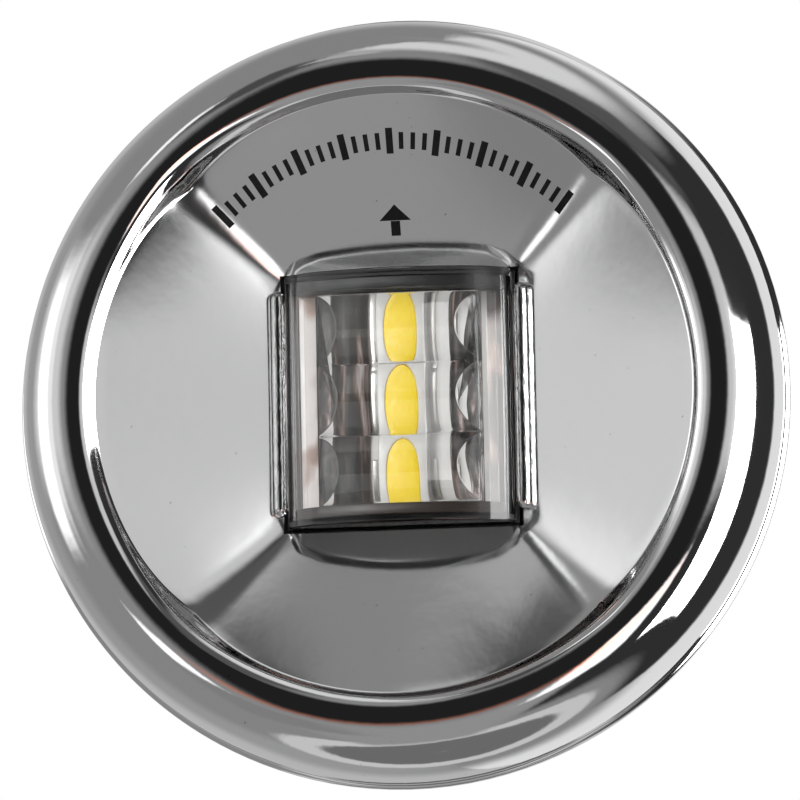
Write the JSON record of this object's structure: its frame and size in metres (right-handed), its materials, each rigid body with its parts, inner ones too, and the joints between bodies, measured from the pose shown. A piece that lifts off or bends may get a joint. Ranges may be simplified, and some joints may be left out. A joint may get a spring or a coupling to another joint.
{
  "type": "stern navigation light",
  "caption": "Round flush transom light: domed polished bezel with a four-sided dish, clear lens over a column of LEDs, sealed cup behind.",
  "frame": {"origin": "centre of the light on the transom's surface, which is the back of the mounting gasket", "axes": "-Y is forward, the way the light shines; +Y goes into the transom; +Z is the top of the light; +X is to the right when looking at its face"},
  "size_m": [0.083, 0.0368, 0.083],
  "materials": {
    "polished_steel": "polished",
    "screw_steel": "satin",
    "spring_steel": "satin",
    "black_plastic": "matte",
    "foam_rubber": "matte",
    "black_rubber": "matte",
    "grey_rubber": "matte",
    "clear_lens": "gloss",
    "led_package": "satin",
    "phosphor": "satin",
    "white_board": "satin",
    "aluminium": "satin",
    "circuit_board": "satin",
    "black_resin": "matte",
    "ferrite": "matte",
    "capacitor_can": "satin",
    "tinned_copper": "satin"
  },
  "bodies": {
    "base": {"housing": "black_plastic", "mounting_gasket": "foam_rubber", "mounting_screw_1": "screw_steel", "mounting_screw_2": "screw_steel", "mounting_screw_3": "screw_steel", "bezel_clip_1": "spring_steel", "bezel_clip_2": "spring_steel", "bezel_clip_3": "spring_steel", "clip_rivet_1": "spring_steel", "clip_rivet_2": "spring_steel", "clip_rivet_3": "spring_steel", "cable_grommet": "black_rubber", "lens_cover": "clear_lens", "lens_seal": "grey_rubber", "lens_frame": "black_plastic", "frame_screw_1": "screw_steel", "frame_screw_2": "screw_steel", "frame_screw_3": "screw_steel", "frame_screw_4": "screw_steel", "optic_carrier": "black_plastic", "housing_seal": "grey_rubber", "optic": "clear_lens", "led_1": "led_package", "led_2": "led_package", "led_3": "led_package", "phosphor_1": "phosphor", "phosphor_2": "phosphor", "phosphor_3": "phosphor", "led_board": "white_board", "heat_spreader": "aluminium", "driver_board": "circuit_board", "driver_screw_1": "screw_steel", "driver_screw_2": "screw_steel", "driver_chip": "black_resin", "rectifier_diode": "black_resin", "sense_resistor": "black_resin", "load_resistor": "black_resin", "filter_choke": "ferrite", "capacitor": "capacitor_can", "board_lead_negative": "tinned_copper", "board_lead_positive": "tinned_copper"},
    "bezel_cover": {"bezel": "polished_steel"}
  },
  "joints": [
    {"name": "bezel_pull", "type": "slide", "parent": "base", "child": "bezel_cover", "axis": [0, -1, 0], "range_m": [0, 0.025]}
  ]
}
